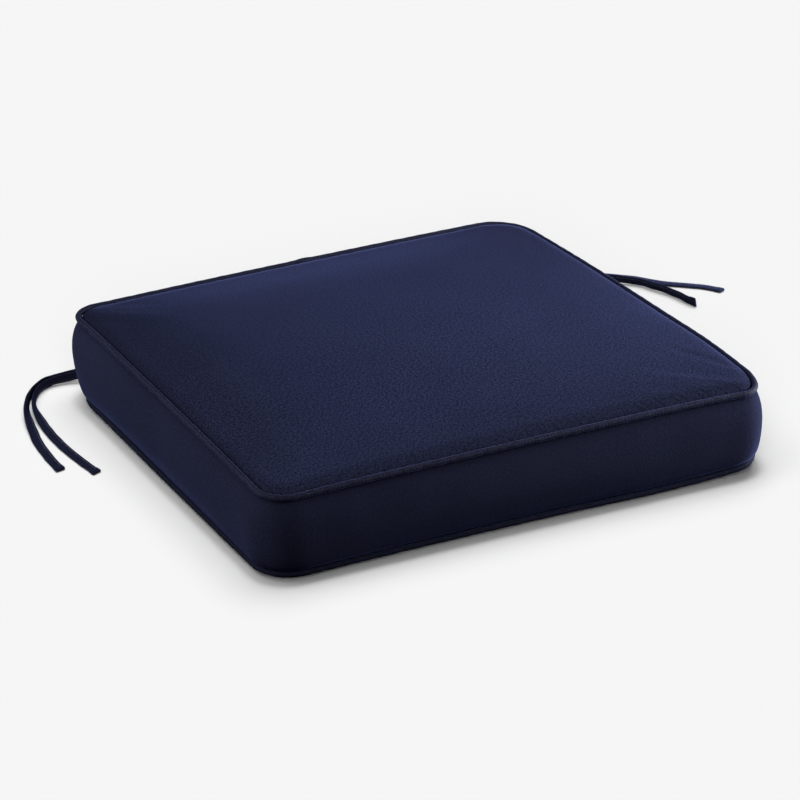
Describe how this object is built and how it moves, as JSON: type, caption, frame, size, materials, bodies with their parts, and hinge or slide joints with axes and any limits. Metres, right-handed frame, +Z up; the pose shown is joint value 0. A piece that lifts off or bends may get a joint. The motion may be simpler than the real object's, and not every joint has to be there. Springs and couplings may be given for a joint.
{
  "type": "chair cushion",
  "caption": "Boxed seat cushion in navy cloth with piped seams, a crowned top and flat ties at the back corners.",
  "frame": {"origin": "centre of the cushion in plan, on the surface it rests on", "axes": "+Z up through the cushion's thickness, +X along the front edge towards the right of someone facing the front, +Y from the front edge to the narrower back edge with the ties"},
  "size_m": [0.7463, 0.4878, 0.1],
  "materials": {
    "cushion_cloth": "matte woven",
    "piping_cloth": "matte woven",
    "tie_cloth": "matte woven"
  },
  "bodies": {
    "root": {"cushion_body": "cushion_cloth", "piping_top": "piping_cloth", "piping_bottom": "piping_cloth", "tie_left_outer": "tie_cloth", "tie_left_inner": "tie_cloth", "tie_right_back": "tie_cloth", "tie_right_front": "tie_cloth"}
  },
  "joints": []
}
